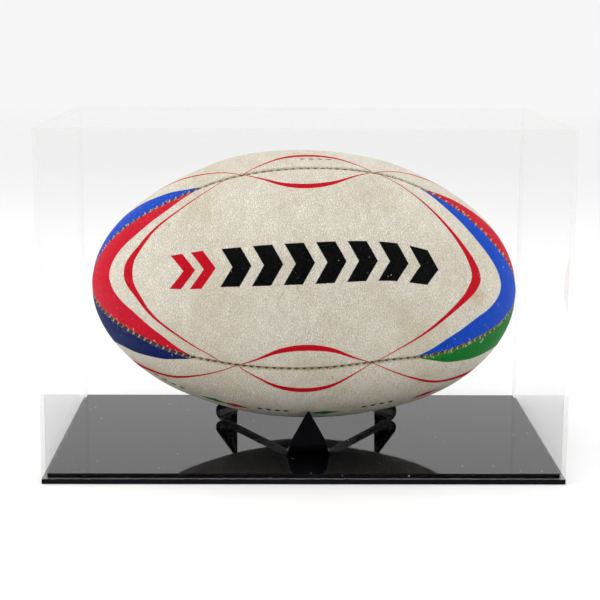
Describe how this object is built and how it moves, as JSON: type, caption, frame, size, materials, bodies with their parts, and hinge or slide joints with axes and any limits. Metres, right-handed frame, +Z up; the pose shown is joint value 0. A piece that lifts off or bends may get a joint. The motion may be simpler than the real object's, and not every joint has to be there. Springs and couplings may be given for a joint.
{
  "type": "ball display case",
  "caption": "Clear box cover that lifts off a stepped gloss-black base, over a bent pointed stand that carries an oval stitched ball on show.",
  "frame": {"origin": "middle of the base's underside", "axes": "+X along the ball to the right, +Y from the front to the back, +Z up"},
  "size_m": [0.34, 0.21, 0.23],
  "materials": {
    "black_acrylic": "polished black acrylic sheet",
    "clear_acrylic": "clear cast acrylic sheet with polished edges",
    "ball_leather": "worn cream panels with a pimpled grip grain and printed colours",
    "bladder_rubber": "plain latex",
    "valve_rubber": "moulded",
    "seam_thread": "waxed twisted thread"
  },
  "bodies": {
    "base": {"base_plate": "black_acrylic", "plinth_plate": "black_acrylic"},
    "cover": {"cover_front_sheet": "clear_acrylic", "cover_back_sheet": "clear_acrylic", "cover_left_sheet": "clear_acrylic", "cover_right_sheet": "clear_acrylic", "cover_top_sheet": "clear_acrylic"},
    "stand": {"ball_stand": "black_acrylic"},
    "ball": {"ball_front_panel": "ball_leather", "ball_top_panel": "ball_leather", "ball_back_panel": "ball_leather", "ball_bottom_panel": "ball_leather", "ball_bladder": "bladder_rubber", "ball_valve": "valve_rubber", "seam_thread_upper_front": "seam_thread", "seam_thread_upper_back": "seam_thread", "seam_thread_lower_back": "seam_thread", "seam_thread_lower_front": "seam_thread"}
  },
  "joints": [
    {"name": "cover_lift", "type": "slide", "parent": "base", "child": "cover", "axis": [0, 0, 1], "range_m": [0, 0.26]},
    {"name": "stand_lift", "type": "slide", "parent": "base", "child": "stand", "axis": [0, 0, 1], "range_m": [0, 0.015]},
    {"name": "ball_turn", "type": "hinge", "parent": "stand", "child": "ball", "pos_m": [0.0009, -0.00181, 0.11333], "axis": [0.9998, 0, -0.0208], "continuous": true}
  ]
}
